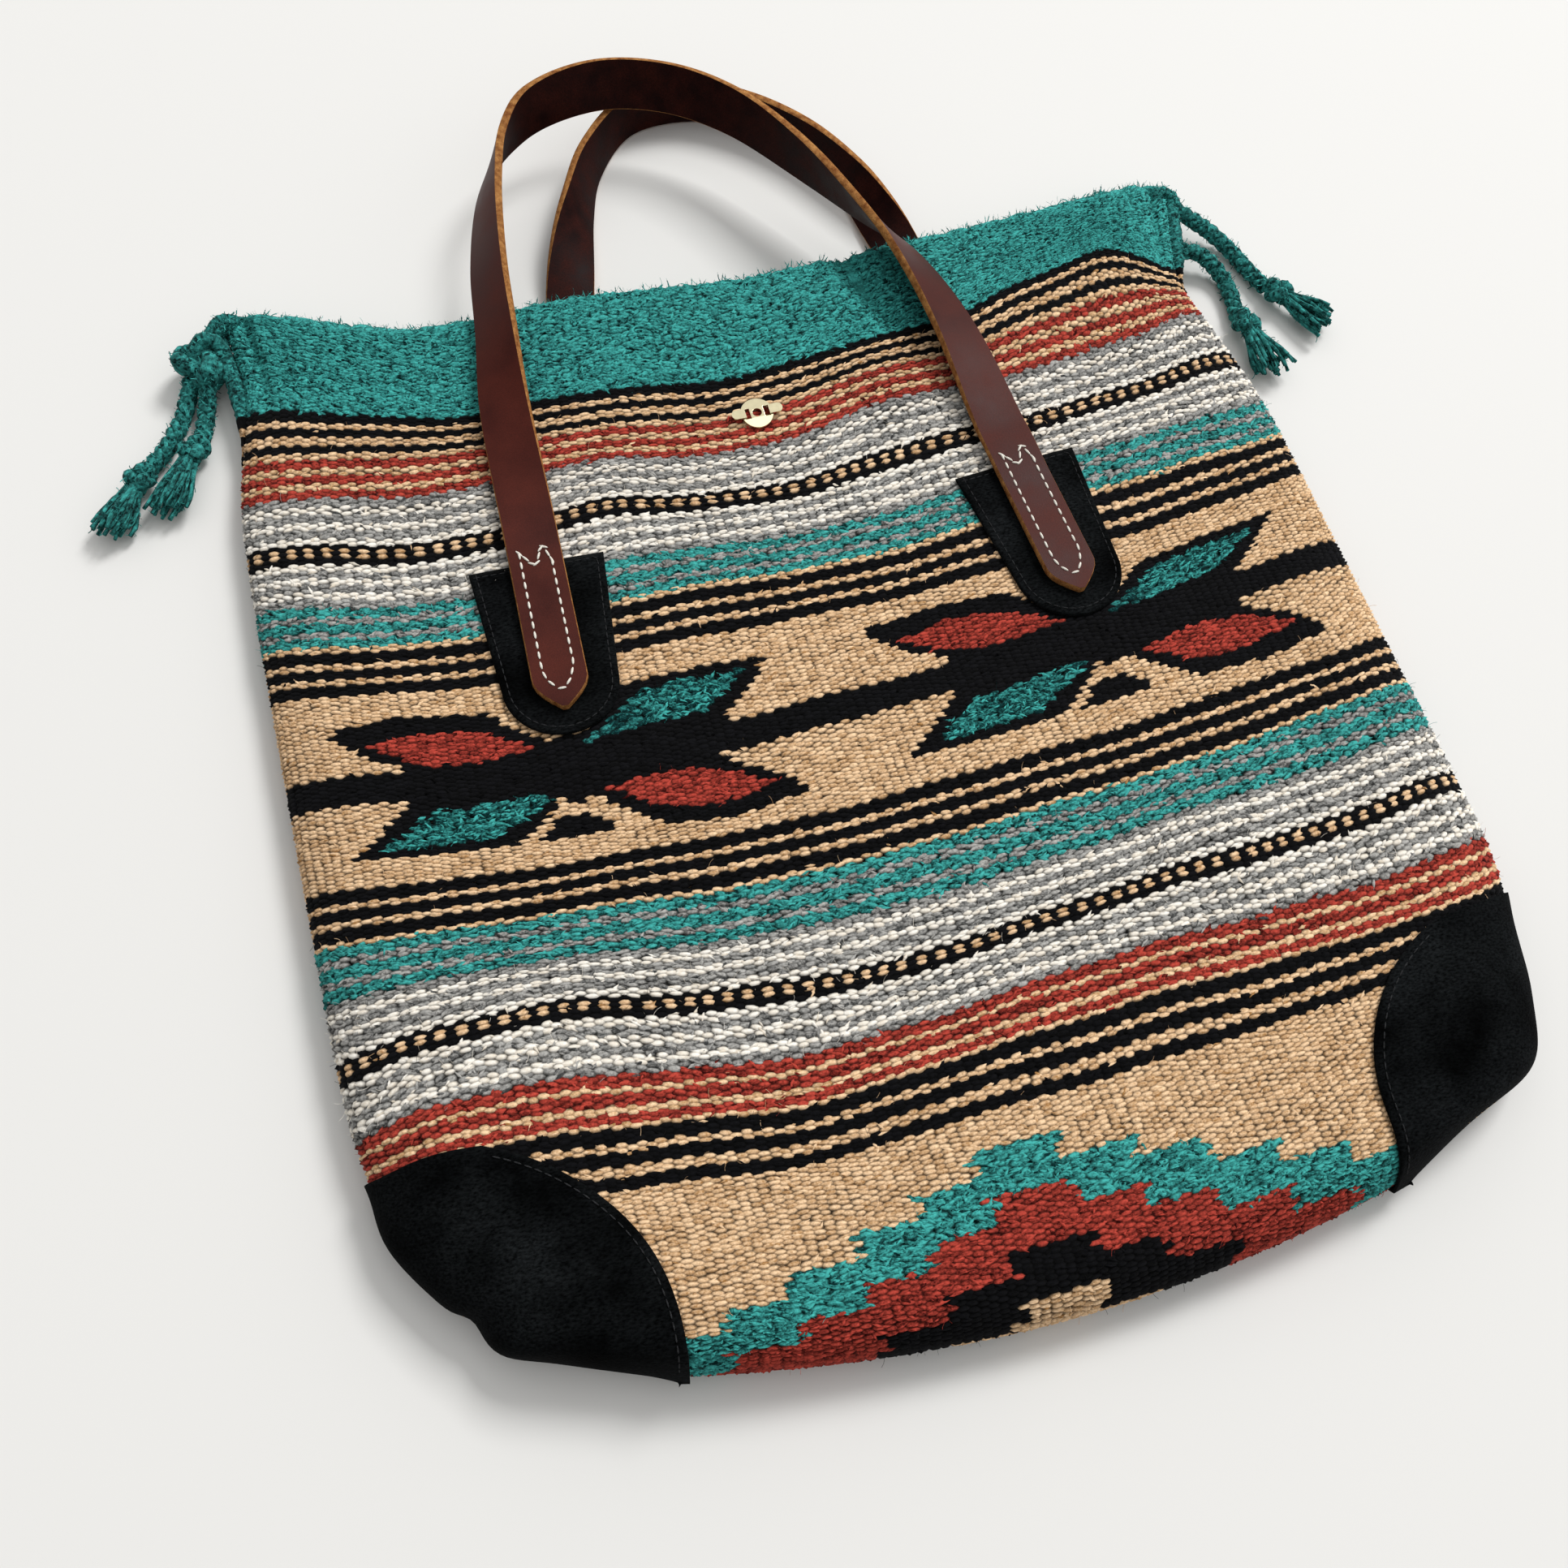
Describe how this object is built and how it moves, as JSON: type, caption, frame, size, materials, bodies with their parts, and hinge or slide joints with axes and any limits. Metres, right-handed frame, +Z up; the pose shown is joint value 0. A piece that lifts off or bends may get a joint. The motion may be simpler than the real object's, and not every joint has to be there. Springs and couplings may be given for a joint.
{
  "type": "wool tote bag",
  "caption": "Flat wool tote bag woven in stripes, lying on its back, with leather carrying straps, suede patches, a magnetic snap and knotted fringe.",
  "frame": {"origin": "on the ground under the middle of the bag and its straps, the fringe left out", "axes": "+Z up from the ground to the front of the bag, +Y from the base fold to the mouth and straps, +X to the right"},
  "size_m": [0.5753, 0.5766, 0.0444],
  "materials": {
    "wool": "coarse weft-faced wool weave in tan, black, teal, rust red, cream and grey",
    "suede": "black brushed suede",
    "leather": "chestnut brown oiled strap leather with raw tan edges",
    "nickel": "pale nickel plate",
    "yarn": "twisted teal wool yarn"
  },
  "bodies": {
    "root": {"wool_body": "wool", "corner_patch_left": "suede", "corner_patch_right": "suede", "strap_patch_front_left": "suede", "strap_patch_front_right": "suede", "strap_patch_back_left": "suede", "strap_patch_back_right": "suede", "strap_front": "leather", "strap_back": "leather", "snap_socket": "nickel", "snap_stud": "nickel", "snap_washer_front": "nickel", "snap_washer_back": "nickel", "tassel_root_knot": "yarn", "tassel_cord_left_upper": "yarn", "tassel_cord_left_lower": "yarn", "tassel_cord_right_upper": "yarn", "tassel_cord_right_lower": "yarn", "tassel_knot_left_upper": "yarn", "tassel_knot_left_lower": "yarn", "tassel_knot_right_upper": "yarn", "tassel_knot_right_lower": "yarn"}
  },
  "joints": []
}
